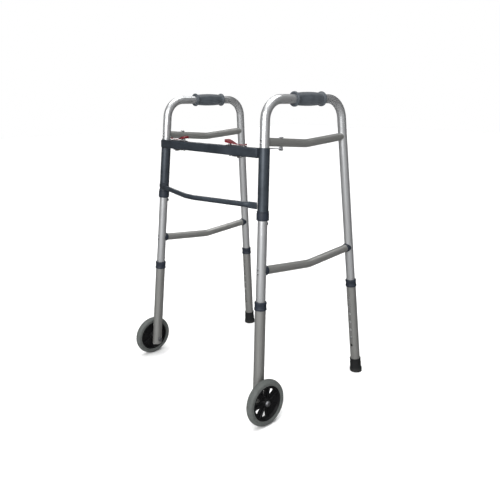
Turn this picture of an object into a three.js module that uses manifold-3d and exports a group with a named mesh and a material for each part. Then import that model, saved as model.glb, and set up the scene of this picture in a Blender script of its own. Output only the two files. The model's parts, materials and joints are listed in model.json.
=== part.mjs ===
// Folding front wheeled walker. Millimetres, +Z up, floor at z = 0, front (wheels) towards -Y.
// Two tubular side frames turn about their own front legs inside the sleeves of a painted front frame.
// Each leg ends in a larger tube that slides up and down and is held by a snap button.
import * as THREE from "three";
import { mergeVertices } from "three/addons/utils/BufferGeometryUtils.js";
import Module from "manifold-3d";

const wasm = await Module();
wasm.setup();

const { degToRad } = THREE.MathUtils;
const UP = new THREE.Vector3(0, 0, 1);

// ---- driving dimensions -------------------------------------------------------------------

const gap = 0.3; // between touching pieces
const footSpacing = 510; // between the two side frames, on the floor
const footDepth = 405; // between a side's front and rear leg, on the floor
const gripHeight = 835; // centre of the top tube
const splay = degToRad(1.8); // each side frame leans in towards the top
const lean = degToRad(4); // front and rear legs spread towards the floor

const tubeRadius = 12.7; // 1 inch tube of the side frames
const tubeWall = 1.2;
const sides = 16; // flats on a round tube
const legTubeRadius = 14.3; // lower leg tube, outside
const sleeveRadius = 14.4;
const boreRadius = 13.15; // every tube that fits round the 1 inch tube
const hoopBend = 57; // centre line radius of the two top corners
const braceRadius = 11.1; // 7/8 inch tube of the braces

const wheelRadius = 59.5;
const wheelWidth = 22;
const wheelOffset = 28; // wheel's middle plane, outside the leg's axis
const tipRadius = 18.5;

const legLength = 267; // lower leg tube
const legBottom = { front: 41, rear: 20 }; // its lower end, along the leg from the floor
const holePitch = 25.4;
const holeCount = 7;
const firstHole = 67; // lowest hole, above the leg tube's lower end
const settingHole = 1; // the button rests in the second lowest hole
const tubePastButton = 16; // side frame tube below its button

const sleeveTop = 712;
const sleeveBottom = 551;
const sleeveCollarBottom = 527;

const upperBrace = { height: 727, dip: 12 };
const lowerBrace = { height: 396, dip: 16 };
const boltBehindLeg = 58; // brace bolt, behind the front leg's axis

const barDepth = 18; // crossbar, front to back
const barHeight = 25.4;
const barWall = 1.6;
const barTop = 712;
const barForward = 14; // crossbar's middle, in front of the leg's axis

// ---- places worked out from them ----------------------------------------------------------

const slope = Math.tan(lean);
const wheelReach = wheelRadius - slope * wheelRadius;
const frontFootY = -(footDepth - wheelReach + tipRadius) / 2; // puts y = 0 half way along
const footY = { front: frontFootY, rear: frontFootY + footDepth };
const inwards = { front: 1, rear: -1 }; // a leg's way towards the other leg of its side
const legY = (end, z) => footY[end] + inwards[end] * slope * z;
const buttonHeight = (end) => legBottom[end] + firstHole + settingHole * holePitch;
const barY = legY("front", barTop - barHeight / 2) - barForward;
const barEndInset = 4.3; // from a sleeve's axis to the crossbar's end
const barHalf = footSpacing / 2 - Math.tan(splay) * barTop - barEndInset;

const finish = {
  silver: surface(0xb4b6b6, 0.38, 0.85),
  paint: surface(0x3a4452, 0.5, 0.3),
  grip: surface(0x39434f, 0.75, 0),
  collar: surface(0x1d232d, 0.55, 0),
  rubber: surface(0x17181a, 0.85, 0),
  tyre: surface(0x77787a, 0.8, 0),
  hub: surface(0x1c1d20, 0.5, 0),
  red: surface(0x8a2026, 0.45, 0),
  zinc: surface(0xc4c6c8, 0.3, 0.9),
};

function surface(color, roughness, metalness) {
  return new THREE.MeshStandardMaterial({ color, roughness, metalness });
}

// ---- general shapes -----------------------------------------------------------------------

// A closed geometry as a manifold-3d solid.
function solid(geometry) {
  const bare = geometry.index ? geometry.toNonIndexed() : geometry.clone();
  bare.deleteAttribute("normal");
  bare.deleteAttribute("uv");
  const merged = mergeVertices(bare, 1e-4);
  return new wasm.Manifold(
    new wasm.Mesh({
      numProp: 3,
      vertProperties: merged.attributes.position.array,
      triVerts: new Uint32Array(merged.index.array),
    }),
  );
}

// A manifold-3d solid back as a geometry.
function geometryOf(body) {
  const mesh = body.getMesh();
  const geometry = new THREE.BufferGeometry();
  geometry.setAttribute("position", new THREE.BufferAttribute(mesh.vertProperties, 3));
  geometry.setIndex(new THREE.BufferAttribute(mesh.triVerts, 1));
  geometry.computeVertexNormals();
  return geometry;
}

function cut(body, ...tools) {
  return geometryOf(tools.reduce((rest, tool) => rest.subtract(solid(tool)), solid(body)));
}

function join(...pieces) {
  return geometryOf(wasm.Manifold.union(pieces.map(solid)));
}

function polygon(radius, count) {
  return Array.from({ length: count }, (_, i) => {
    const angle = (2 * Math.PI * i) / count;
    return new THREE.Vector2(radius * Math.cos(angle), radius * Math.sin(angle));
  });
}

function tubeSection(outer, inner, count) {
  const shape = new THREE.Shape(polygon(outer, count));
  if (inner) shape.holes.push(new THREE.Path(polygon(inner, count).reverse()));
  return shape;
}

// Upright tube or, with no inner radius, a rod. It stands on z = 0.
function tube(outer, inner, length, count = sides) {
  return new THREE.ExtrudeGeometry(tubeSection(outer, inner, count), {
    depth: length,
    bevelEnabled: false,
  });
}

// Rod between two points.
function rod(from, to, radius, count = 10) {
  const along = to.clone().sub(from);
  const turn = new THREE.Quaternion().setFromUnitVectors(UP, along.clone().normalize());
  return tube(radius, 0, along.length(), count)
    .applyQuaternion(turn)
    .translate(from.x, from.y, from.z);
}

function box(width, depth, height, x, y, z) {
  return new THREE.BoxGeometry(width, depth, height).translate(x, y, z);
}

// Solid of revolution about Z from [radius, height] pairs that start and end on the axis or close.
function turned(profile, count = sides) {
  const points = profile.map(([radius, height]) => new THREE.Vector2(radius, height));
  return new THREE.LatheGeometry(points, count).rotateX(Math.PI / 2);
}

// Straight runs through the given corners, with each inner corner rounded to an arc.
class BentPath extends THREE.Curve {
  constructor(corners, radius, arcSteps) {
    super();
    this.stations = [corners[0]];
    for (let i = 1; i < corners.length - 1; i++) {
      this.stations.push(...roundedCorner(corners[i - 1], corners[i], corners[i + 1], radius, arcSteps));
    }
    this.stations.push(corners.at(-1));
  }
  get steps() {
    return this.stations.length - 1;
  }
  getPoint(t, target = new THREE.Vector3()) {
    const along = Math.min(Math.max(t, 0), 1) * this.steps;
    const start = Math.min(Math.floor(along), this.steps - 1);
    return target.lerpVectors(this.stations[start], this.stations[start + 1], along - start);
  }
  getUtoTmapping(u) {
    return u;
  }
}

function roundedCorner(before, corner, after, radius, arcSteps) {
  const back = before.clone().sub(corner).normalize();
  const on = after.clone().sub(corner).normalize();
  const half = back.angleTo(on) / 2;
  const centre = corner
    .clone()
    .addScaledVector(back.clone().add(on).normalize(), radius / Math.sin(half));
  const start = corner.clone().addScaledVector(back, radius / Math.tan(half)).sub(centre);
  const axis = new THREE.Vector3().crossVectors(on, back).normalize();
  const turn = Math.PI - 2 * half;
  return Array.from({ length: arcSteps + 1 }, (_, i) =>
    start.clone().applyAxisAngle(axis, (turn * i) / arcSteps).add(centre),
  );
}

function bentTube(path, outer, inner, count) {
  return new THREE.ExtrudeGeometry(tubeSection(outer, inner, count), {
    steps: path.steps,
    extrudePath: path,
  });
}

function addMesh(group, name, geometry, material) {
  const mesh = new THREE.Mesh(geometry, material);
  mesh.name = name;
  group.add(mesh);
  return mesh;
}

// ---- side frame ---------------------------------------------------------------------------

const inPlane = (y, z) => new THREE.Vector3(0, y, z);

// Group whose Z runs up a leg's axis from the floor.
function legGroup(end) {
  const group = new THREE.Group();
  group.position.y = footY[end];
  group.rotation.x = -inwards[end] * lean;
  group.updateMatrix();
  return group;
}

const tubeEnd = (end) => buttonHeight(end) - tubePastButton;

function pointOnLeg(end, along) {
  return inPlane(footY[end] + inwards[end] * Math.sin(lean) * along, Math.cos(lean) * along);
}

// Rod from inside a leg, at a height along it, out through its wall on the side of the other leg.
function buttonHole(end, radius, from, to) {
  const height = buttonHeight(end);
  const start = new THREE.Vector3(0, inwards[end] * from, height);
  const stop = new THREE.Vector3(0, inwards[end] * to, height);
  return rod(start, stop, radius, 8);
}

const rivetRadius = 2.4;
const rivetHead = { rim: 4.2, top: 2.2 };
const rivetInto = 12; // rivet's reach past the tube's far wall
const stopPin = { height: 517, radius: 2.5 };

// The rivet of a brace's end runs along the brace's first straight.
function rivetLine(brace, end) {
  const start = inPlane(legY(end, brace.height), brace.height);
  const middle = inPlane((legY("front", brace.height) + legY("rear", brace.height)) / 2,
    brace.height - brace.dip);
  const along = middle.sub(start).normalize();
  return { start, along };
}

function rivetRod(brace, end, radius, from, to) {
  const { start, along } = rivetLine(brace, end);
  const near = start.clone().addScaledVector(along, from);
  return rod(near, start.clone().addScaledVector(along, to), radius, 8);
}

function hoopGeometry() {
  const path = new BentPath(
    [
      pointOnLeg("front", tubeEnd("front")),
      inPlane(legY("front", gripHeight), gripHeight),
      inPlane(legY("rear", gripHeight), gripHeight),
      pointOnLeg("rear", tubeEnd("rear")),
    ],
    hoopBend,
    6,
  );
  const holes = ["front", "rear"].flatMap((end) => [
    buttonHole(end, 4.3, 5, 20).applyMatrix4(legGroup(end).matrix),
    ...[upperBrace, lowerBrace].map((brace) => rivetRod(brace, end, rivetRadius + gap, -20, 20)),
  ]);
  const pinHole = rod(
    inPlane(legY("front", stopPin.height), stopPin.height),
    inPlane(legY("front", stopPin.height) + 20, stopPin.height),
    stopPin.radius + gap,
  );
  return cut(bentTube(path, tubeRadius, tubeRadius - tubeWall, sides), ...holes, pinHole);
}

// Hand grip: flanged at both ends and fuller in the middle.
function gripGeometry() {
  const length = 111;
  const flange = 4; // thickness of a flange
  const rim = 20.5; // radius of a flange
  const waist = 16.2;
  const swell = 3.2;
  const steps = 5;
  const outline = [[boreRadius, 0], [rim - 1.5, 0], [rim, 1.5], [rim, flange - 1], [waist + 0.8, flange + 1]];
  for (let i = 1; i < steps; i++) {
    const along = i / steps;
    const height = flange + 1 + along * (length - 2 * flange - 2);
    outline.push([waist + swell * Math.sin(Math.PI * along), height]);
  }
  outline.push([waist + 0.8, length - flange - 1], [rim, length - flange + 1], [rim, length - 1.5]);
  outline.push([rim - 1.5, length], [boreRadius, length], [boreRadius, 0]);
  return turned(outline).rotateX(-Math.PI / 2).translate(0, 0, gripHeight);
}

// A straight cylinder about a leg's axis, for coping the end of a brace.
function legCylinder(end, height, radius) {
  const middle = height / Math.cos(lean);
  return rod(pointOnLeg(end, middle - 40), pointOnLeg(end, middle + 40), radius, sides);
}

const saddleReach = 18; // lower saddle's outer face, from the leg's axis

function braceGeometry(brace, endRadius, boltAxis) {
  const middleY = (legY("front", brace.height) + legY("rear", brace.height)) / 2;
  const corners = [
    inPlane(legY("front", brace.height), brace.height),
    inPlane(middleY, brace.height - brace.dip),
    inPlane(legY("rear", brace.height), brace.height),
  ];
  const body = bentTube(new BentPath(corners, 90, 3), braceRadius, braceRadius - tubeWall, sides);
  const cuts = ["front", "rear"].map((end) => legCylinder(end, brace.height, endRadius));
  if (boltAxis) cuts.push(rod(boltAxis(-60), boltAxis(60), boltShank + gap));
  return cut(body, ...cuts);
}

// Plastic saddle between a leg and the lower brace, with a plug inside the brace.
function saddleGeometry(end) {
  const { start, along } = rivetLine(lowerBrace, end);
  const at = (distance) => start.clone().addScaledVector(along, distance);
  const cap = solid(rod(at(5), at(saddleReach + 8), braceRadius + 0.9, sides)).intersect(
    solid(legCylinder(end, lowerBrace.height, saddleReach)),
  );
  const plug = solid(rod(at(15), at(saddleReach + 10), braceRadius - tubeWall - 0.6, sides));
  const body = cap.add(plug);
  const bore = legCylinder(end, lowerBrace.height, tubeRadius + gap);
  const rivet = rivetRod(lowerBrace, end, rivetRadius + gap, 0, tubeRadius + rivetInto + 1);
  return cut(geometryOf(body), bore, rivet);
}

// Rivet with a low domed head outside the leg.
function rivetGeometry(brace, end) {
  const { start, along } = rivetLine(brace, end);
  const { rim, top } = rivetHead;
  const head = [[0, 0], [rim - 1.6, 0], [rim, top - 1], [rim, top], [rivetRadius, top]];
  const length = top + 2 * tubeRadius + gap + rivetInto;
  const geometry = turned([...head, [rivetRadius, length], [0, length]], 10);
  const turn = new THREE.Quaternion().setFromUnitVectors(UP, along);
  const place = start.clone().addScaledVector(along, -(tubeRadius + gap + top));
  return geometry.applyQuaternion(turn).translate(place.x, place.y, place.z);
}

// Button and the flat spring end that carries it, inside the side frame's tube.
function snapButtonGeometry(end) {
  const height = buttonHeight(end);
  const y = (distance) => inwards[end] * distance;
  const pin = rod(new THREE.Vector3(0, y(9), height), new THREE.Vector3(0, y(15.6), height), 3.9, 12);
  const crown = rod(new THREE.Vector3(0, y(15.5), height), new THREE.Vector3(0, y(16.6), height), 2.8, 12);
  const leaf = box(8, 1.2, 22, 0, y(9.2), height + 5);
  return join(pin, crown, leaf);
}

function stopPinGeometry() {
  const y = legY("front", stopPin.height);
  const at = (distance) => inPlane(y + distance, stopPin.height);
  const shank = rod(at(8), at(14), stopPin.radius, 10);
  const head = rod(at(13.2), at(17.5), 4.5, 10);
  return join(shank, head);
}

// ---- lower legs and wheels ----------------------------------------------------------------

function lowerLegGeometry(end) {
  const holes = Array.from({ length: holeCount }, (_, i) => {
    const height = firstHole + i * holePitch;
    const start = new THREE.Vector3(0, inwards[end] * 6, height);
    return rod(start, new THREE.Vector3(0, inwards[end] * 20, height), 4.6, 8);
  });
  if (end === "front") holes.push(axleRod(4.3, -20, 20).translate(0, 0, -legBottom.front));
  return cut(tube(legTubeRadius, boreRadius, legLength), ...holes).translate(0, 0, legBottom[end]);
}

// Plastic collar that closes the gap between the two tubes of a leg.
function legCollarGeometry() {
  const height = 22;
  const cover = 13;
  const outer = 16.5;
  return turned([
    [legTubeRadius + 0.55, 0],
    [outer - 1, 0],
    [outer, 1],
    [outer, height - 2],
    [outer - 1.6, height],
    [boreRadius, height],
    [boreRadius, cover],
    [legTubeRadius + 0.55, cover],
    [legTubeRadius + 0.55, 0],
  ]).translate(0, 0, -cover + gap);
}

// Rubber tip in the leg's own frame. Its foot runs past the floor, to be trimmed level.
function tipGeometry() {
  const bore = legTubeRadius + 0.55;
  return turned([
    [0, -4],
    [tipRadius - 0.6, -4],
    [tipRadius - 0.6, 5],
    [tipRadius, 7],
    [tipRadius - 0.8, 11],
    [16.9, 14],
    [16.5, 40],
    [15.8, 42],
    [bore, 42],
    [bore, legBottom.rear - gap],
    [0, legBottom.rear - gap],
  ]);
}

// The wheel leans with its side frame, so its tread meets the floor at the edge of its flat band.
const treadFlat = wheelWidth / 8;
const axleHeight =
  (wheelRadius * Math.cos(splay) - (wheelOffset - treadFlat) * Math.sin(splay)) /
  (Math.cos(splay) * Math.cos(lean));

// Rod across a leg at the axle's height, in the leg's own frame.
function axleRod(radius, from, to, count = 12) {
  return rod(new THREE.Vector3(from, 0, axleHeight), new THREE.Vector3(to, 0, axleHeight), radius, count);
}

const tyreInner = 45.5;

// Wheel pieces are turned about Z with the outer side up, then laid along X.
function tyreGeometry() {
  const edge = wheelWidth / 2;
  return turned([
    [tyreInner, -edge + 2],
    [wheelRadius - 6, -edge],
    [wheelRadius - 2, -edge + 3],
    [wheelRadius, -treadFlat],
    [wheelRadius, treadFlat],
    [wheelRadius - 2, edge - 3],
    [wheelRadius - 6, edge],
    [tyreInner, edge - 2],
    [tyreInner, -edge + 2],
  ], 32);
}

function hubGeometry() {
  const rim = tyreInner - gap - 0.2;
  const half = wheelWidth / 2 - 2;
  const web = 3;
  const boss = 13;
  const bore = 4.6;
  const body = turned([
    [bore, -half], [boss, -half], [boss, -web], [rim - 5, -web], [rim - 4, -half], [rim, -half],
    [rim, half], [rim - 4, half], [rim - 5, web], [boss, web], [boss, half], [bore, half],
    [bore, -half],
  ], 24);
  const count = 7;
  const windows = Array.from({ length: count }, (_, i) =>
    hubWindow(boss + 5, rim - 9).rotateZ((2 * Math.PI * i) / count),
  );
  return cut(body, ...windows);
}

// Triangular window between two spokes, with its point towards the boss.
function hubWindow(inner, outer) {
  const half = 9;
  const shape = new THREE.Shape([
    new THREE.Vector2(inner, -2),
    new THREE.Vector2(outer - 2, -half),
    new THREE.Vector2(outer, -half + 3),
    new THREE.Vector2(outer, half - 3),
    new THREE.Vector2(outer - 2, half),
    new THREE.Vector2(inner, 2),
  ]);
  return new THREE.ExtrudeGeometry(shape, { depth: 20, bevelEnabled: false }).translate(0, 0, -10);
}

// Shouldered bolt: its head is outside the wheel and its end stands inside the leg.
function axleBoltGeometry(side) {
  const outer = wheelOffset + wheelWidth / 2 - 2 + gap;
  const shank = axleRod(4, -side * 19, side * (outer + 1));
  const head = axleRod(8, side * outer, side * (outer + 5), 16);
  return join(shank, head);
}

function axleNutGeometry(side) {
  const nut = axleRod(7.2, -side * (legTubeRadius + gap), -side * (legTubeRadius + 7), 6);
  return cut(nut, axleRod(4.3, -side * 10, -side * 25));
}

function addWheel(leg, side, name) {
  const wheel = new THREE.Group();
  wheel.position.set(side * wheelOffset, 0, axleHeight);
  wheel.rotation.set(lean, (side * Math.PI) / 2, 0);
  addMesh(wheel, "tyre_" + name, tyreGeometry(), finish.tyre);
  addMesh(wheel, "wheel_hub_" + name, hubGeometry(), finish.hub);
  leg.add(wheel);
  addMesh(leg, "axle_bolt_" + name, axleBoltGeometry(side), finish.zinc);
  addMesh(leg, "axle_nut_" + name, axleNutGeometry(side), finish.zinc);
}

// ---- front frame --------------------------------------------------------------------------

// A leg's axis in the whole walker's frame, as a rod between two heights.
function hingeRod(side, from, to, radius) {
  const plane = sidePlane(side);
  const at = (height) => pointOnLeg("front", height / Math.cos(lean)).applyMatrix4(plane.matrix);
  return rod(at(from), at(to), radius, sides);
}

function sleeveGeometry(side) {
  return cut(
    hingeRod(side, sleeveBottom + gap, sleeveTop, sleeveRadius),
    hingeRod(side, sleeveBottom - 20, sleeveTop + 20, boreRadius),
  );
}

function sleeveCollarGeometry(side) {
  return cut(
    hingeRod(side, sleeveCollarBottom, sleeveBottom, 16.5),
    hingeRod(side, sleeveCollarBottom - 20, sleeveBottom + 20, boreRadius),
  );
}

function roundedRectangle(width, height, radius) {
  const shape = new THREE.Shape();
  const x = width / 2 - radius;
  const y = height / 2 - radius;
  shape.absarc(x, y, radius, 0, Math.PI / 2);
  shape.absarc(-x, y, radius, Math.PI / 2, Math.PI);
  shape.absarc(-x, -y, radius, Math.PI, 1.5 * Math.PI);
  shape.absarc(x, -y, radius, 1.5 * Math.PI, 2 * Math.PI);
  return shape;
}

// Rectangular tube. Each lock's slider runs in a slot through its top and bottom walls, and its link
// enters by a slot in the rear wall.
function crossbarGeometry() {
  const z = barTop - barHeight / 2;
  const shape = roundedRectangle(barDepth, barHeight, 4);
  shape.holes.push(new THREE.Path(
    roundedRectangle(barDepth - 2 * barWall, barHeight - 2 * barWall, 2.4).getPoints(3).reverse(),
  ));
  const bar = new THREE.ExtrudeGeometry(shape, { depth: 2 * barHalf, bevelEnabled: false, curveSegments: 3 })
    .translate(0, 0, -barHalf)
    .rotateX(Math.PI / 2)
    .rotateZ(Math.PI / 2)
    .translate(0, barY, z);
  const slots = [-1, 1].map((side) => {
    const from = slider.travelEnd;
    const to = slider.stud + 7;
    return box(to - from, 7.4, barHeight + 20, side * ((from + to) / 2), barY, z);
  });
  const linkSlots = [-1, 1].map((side) => {
    const { from, to, bottom, top } = linkSlot;
    const middle = { x: side * ((from + to) / 2), y: barY + barDepth / 2, z: (bottom + top) / 2 };
    return box(to - from, 4 * barWall, top - bottom, middle.x, middle.y, middle.z);
  });
  const sleeves = [-1, 1].map((side) => hingeRod(side, 600, 800, sleeveRadius + gap));
  return cut(bar, ...slots, ...linkSlots, ...sleeves);
}

const lowerBar = {
  height: 566,
  radius: 7,
  wall: 1.5,
  bend: 40, // centre line radius of its two bends
  bow: 48, // how far its middle stands in front of its ends
  straight: 20, // half of the run between its two bends
  endInset: 5, // from a sleeve's axis to the bar's end
  tabLength: 20,
  tabDepth: 0.4, // share of the tube's depth that a flattened end keeps
  tabHeight: 1.3,
};

// Round tube bent forward at its middle, with flattened ends that lie on the front of the sleeves.
function lowerBarGeometry() {
  const { height, radius, wall, bend, bow, straight, endInset, tabDepth } = lowerBar;
  const endX = footSpacing / 2 - Math.tan(splay) * height - endInset;
  const sleeveFront = Math.sqrt(sleeveRadius ** 2 - endInset ** 2);
  const endY = legY("front", height) - sleeveFront - 2 * gap - radius * tabDepth;
  const at = (x, y) => new THREE.Vector3(x, y, height);
  const corners = [at(-endX, endY), at(-straight, endY - bow), at(straight, endY - bow), at(endX, endY)];
  const path = new BentPath(corners, bend, 2);
  path.stations = dividedEnds(path.stations);
  return flattenEnds(bentTube(path, radius, radius - wall, 12), endX, endY);
}

// The same line with stations added where the flattening of each end starts and stops.
function dividedEnds([first, ...rest]) {
  const last = rest.pop();
  const inwardsFrom = (end, next, distance) => end.clone().add(next.clone().sub(end).setLength(distance));
  const near = [lowerBar.tabLength, 1.5 * lowerBar.tabLength, 2 * lowerBar.tabLength];
  const starts = near.map((distance) => inwardsFrom(first, rest[0], distance));
  const stops = near.map((distance) => inwardsFrom(last, rest.at(-1), distance)).reverse();
  return [first, ...starts, ...rest, ...stops, last];
}

function flattenEnds(geometry, endX, endY) {
  const { height, bow, straight, tabLength, tabDepth, tabHeight } = lowerBar;
  const position = geometry.attributes.position;
  for (let i = 0; i < position.count; i++) {
    const inset = endX - Math.abs(position.getX(i));
    const amount = 1 - THREE.MathUtils.smoothstep(inset, tabLength, 2 * tabLength);
    const middleY = endY - (bow * inset) / (endX - straight);
    const depth = THREE.MathUtils.lerp(1, tabDepth, amount);
    const tall = THREE.MathUtils.lerp(1, tabHeight, amount);
    position.setY(i, middleY + (position.getY(i) - middleY) * depth);
    position.setZ(i, height + (position.getZ(i) - height) * tall);
  }
  return geometry;
}

// ---- lock ---------------------------------------------------------------------------------

const slider = {
  stud: 150,
  tie: 128,
  post: 110,
  outer: 176,
  inner: 98,
  plateOuter: 164,
  plateInner: 121,
  width: 13,
  thick: 2,
  travelEnd: 10,
};
const link = { halfWidth: 5.5, thick: 2.2, top: 707.8, hole: 3.4 };
const linkSlot = { from: 60, to: 174, bottom: 700.8, top: 710 };
const boltShank = 3;
const bolt = { headTop: 737, headThick: 3, headRadius: 6.5, washer: 1.7, bottom: 701, slack: 0.8 };

// Point on a side's brace bolt, at a distance above or below the brace's centre line.
function boltPoint(side) {
  const y = legY("front", upperBrace.height) + boltBehindLeg;
  const half = (legY("rear", upperBrace.height) - legY("front", upperBrace.height)) / 2;
  const z = upperBrace.height - (upperBrace.dip * boltBehindLeg) / half;
  const x = side * (footSpacing / 2 - Math.tan(splay) * z);
  return new THREE.Vector3(x, y, z);
}

// The bolt and the link's pivot stand parallel to the front leg, seen from the side.
const boltDirection = new THREE.Vector3(0, Math.sin(lean), Math.cos(lean));

function boltAt(side, height) {
  const base = boltPoint(side);
  return base.addScaledVector(boltDirection, (height - base.z) / boltDirection.z);
}

function braceBoltGeometry(side) {
  const at = (height) => boltAt(side, height);
  return join(
    rod(at(bolt.bottom), at(bolt.headTop - 1), boltShank),
    rod(at(bolt.headTop - bolt.headThick), at(bolt.headTop), bolt.headRadius, 12),
    rod(at(link.top + bolt.slack), at(link.top + bolt.slack + bolt.washer), 5.5, 10),
    rod(at(bolt.bottom), at(link.top - link.thick - bolt.slack), 5.5, 6),
  );
}

// Flat steel link from the brace's bolt to a stud inside the crossbar.
function linkGeometry(side) {
  const pivot = boltAt(side, link.top);
  const stud = new THREE.Vector3(side * slider.stud, barY, pivot.z);
  const length = pivot.distanceTo(stud);
  const outline = new THREE.Shape()
    .absarc(0, 0, link.halfWidth, Math.PI / 2, 1.5 * Math.PI)
    .absarc(length, 0, link.halfWidth, -Math.PI / 2, Math.PI / 2);
  const strip = new THREE.ExtrudeGeometry(outline, {
    depth: link.thick,
    bevelEnabled: false,
    curveSegments: 6,
  }).translate(0, 0, -link.thick);
  const hole = tube(link.hole, 0, 3 * link.thick, 12).translate(0, 0, -2 * link.thick);
  const eye = hole.clone().translate(length, 0, 0);
  const turn = Math.atan2(stud.y - pivot.y, stud.x - pivot.x);
  return cut(strip, hole, eye)
    .rotateZ(turn)
    .translate(pivot.x, pivot.y, pivot.z);
}

// Strip on the crossbar and plate under it, tied through the bar. The strip's stud ends above the link.
function sliderGeometry(side) {
  const { stud, tie, post, outer, inner, plateOuter, plateInner, width, thick } = slider;
  const at = (x, z) => new THREE.Vector3(side * x, barY, z);
  const strip = (from, to, z) => box(to - from, width, thick, (side * (from + to)) / 2, barY, z);
  const base = barTop + gap;
  const foot = barTop - barHeight - gap;
  const body = join(
    strip(inner, outer, base + thick / 2),
    strip(plateInner, plateOuter, foot - thick / 2),
    rod(at(tie, foot - thick / 2), at(tie, base + thick / 2), 2.6),
    rod(at(stud, link.top + 1.1), at(stud, base + thick + 1), 3),
    rod(at(stud, foot - thick - 3), at(stud, foot - thick / 2), 6, 6),
  );
  return cut(body, rod(at(post, base - 5), at(post, base + 10), 3));
}

// Post that the release lever rocks on. Its lower end shows under the crossbar.
function releasePostGeometry(side) {
  const at = (z) => new THREE.Vector3(side * slider.post, barY, z);
  const shoulder = rod(at(barTop + 2.6), at(lever.pivot - 3), 4);
  return join(rod(at(barTop - barHeight - 3), at(lever.pivot), 2.4), shoulder);
}

const lever = {
  pivot: 721.5,
  innerEnd: 94,
  innerTop: 729,
  heel: 140,
  tailEnd: 180,
  tailTop: 717.5,
  tailThick: 1.4,
  thick: 8,
  halfWidth: 9.5,
  tailHalfWidth: 3,
};

// Finger lever: a teardrop paddle that slopes down to a narrow tail with an upturned tip.
function releaseLeverGeometry(side) {
  const { innerEnd, innerTop, heel, tailEnd, tailTop, tailThick, thick, halfWidth, tailHalfWidth } = lever;
  const profile = new THREE.Shape(
    [
      [innerEnd, innerTop - 2],
      [innerEnd + 2, innerTop],
      [heel, tailTop],
      [tailEnd - 2, tailTop],
      [tailEnd - 2, tailTop + 3],
      [tailEnd, tailTop + 3],
      [tailEnd, tailTop - tailThick],
      [heel, tailTop - tailThick],
      [innerEnd + 3, innerTop - thick],
    ].map(([x, z]) => new THREE.Vector2(x, z)),
  );
  const edgeOn = new THREE.ExtrudeGeometry(profile, { depth: 2 * halfWidth, bevelEnabled: false })
    .translate(0, 0, -halfWidth)
    .rotateX(Math.PI / 2);
  const outline = new THREE.Shape()
    .absarc(innerEnd + halfWidth, 0, halfWidth, Math.PI / 2, 1.5 * Math.PI)
    .lineTo(heel - 8, -tailHalfWidth - 2)
    .lineTo(heel, -tailHalfWidth)
    .lineTo(tailEnd + 1, -tailHalfWidth)
    .lineTo(tailEnd + 1, tailHalfWidth)
    .lineTo(heel, tailHalfWidth)
    .lineTo(heel - 8, tailHalfWidth + 2);
  const plan = new THREE.ExtrudeGeometry(outline, { depth: 60, bevelEnabled: false, curveSegments: 6 })
    .translate(0, 0, innerTop - 30);
  const socket = rod(
    new THREE.Vector3(slider.post, 0, barTop),
    new THREE.Vector3(slider.post, 0, lever.pivot + 0.6),
    3.2,
  );
  const body = geometryOf(solid(edgeOn).intersect(solid(plan)));
  return cut(body, socket).rotateZ(side < 0 ? Math.PI : 0).translate(0, barY, 0);
}

// ---- assembly -----------------------------------------------------------------------------

function sidePlane(side) {
  const plane = new THREE.Group();
  plane.position.x = (side * footSpacing) / 2;
  plane.rotation.y = -side * splay;
  plane.updateMatrix();
  return plane;
}

function addLowerLeg(plane, end, side, name) {
  const leg = legGroup(end);
  const tag = end + "_" + name;
  plane.add(leg);
  addMesh(leg, "lower_leg_" + tag, lowerLegGeometry(end), finish.silver);
  addMesh(leg, "leg_collar_" + tag, legCollarGeometry(), finish.collar)
    .position.z = legBottom[end] + legLength;
  addMesh(leg, "snap_button_" + tag, snapButtonGeometry(end), finish.zinc);
  if (end === "front") addWheel(leg, side, name);
  return leg;
}

// The rubber tip is placed in the whole walker's frame, so that its foot can be cut level.
function addTip(walker, plane, name) {
  const placed = tipGeometry().applyMatrix4(legGroup("rear").matrix).applyMatrix4(plane.matrix);
  const level = solid(placed).trimByPlane([0, 0, 1], 0);
  addMesh(walker, "rubber_tip_" + name, geometryOf(level), finish.rubber);
}

function addBraces(plane, name, side) {
  const toPlane = plane.matrix.clone().invert();
  const boltAxis = (offset) => {
    const height = boltPoint(side).z + offset;
    return boltAt(side, height).applyMatrix4(toPlane);
  };
  addMesh(plane, "upper_brace_" + name, braceGeometry(upperBrace, tubeRadius + gap, boltAxis), finish.silver);
  addMesh(plane, "lower_brace_" + name, braceGeometry(lowerBrace, saddleReach + gap), finish.silver);
  for (const end of ["front", "rear"]) {
    const tag = end + "_" + name;
    addMesh(plane, "brace_saddle_" + tag, saddleGeometry(end), finish.collar);
    addMesh(plane, "upper_rivet_" + tag, rivetGeometry(upperBrace, end), finish.zinc);
    addMesh(plane, "lower_rivet_" + tag, rivetGeometry(lowerBrace, end), finish.zinc);
  }
}

const gripStart = 99; // front end of the grip, behind the front leg's axis at its height

function addSide(walker, side, name) {
  const plane = sidePlane(side);
  walker.add(plane);
  addMesh(plane, "side_hoop_" + name, hoopGeometry(), finish.silver);
  addMesh(plane, "hand_grip_" + name, gripGeometry(), finish.grip)
    .position.y = legY("front", gripHeight) + gripStart;
  addBraces(plane, name, side);
  addMesh(plane, "sleeve_stop_pin_" + name, stopPinGeometry(), finish.collar);
  for (const end of ["front", "rear"]) addLowerLeg(plane, end, side, name);
  addTip(walker, plane, name);
}

function addFrontFrame(walker, side, name) {
  addMesh(walker, "hinge_sleeve_" + name, sleeveGeometry(side), finish.paint);
  addMesh(walker, "sleeve_collar_" + name, sleeveCollarGeometry(side), finish.collar);
  addMesh(walker, "brace_bolt_" + name, braceBoltGeometry(side), finish.zinc);
  addMesh(walker, "lock_link_" + name, linkGeometry(side), finish.zinc);
  addMesh(walker, "lock_slider_" + name, sliderGeometry(side), finish.zinc);
  addMesh(walker, "release_lever_" + name, releaseLeverGeometry(side), finish.red);
  addMesh(walker, "release_post_" + name, releasePostGeometry(side), finish.zinc);
}

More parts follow.
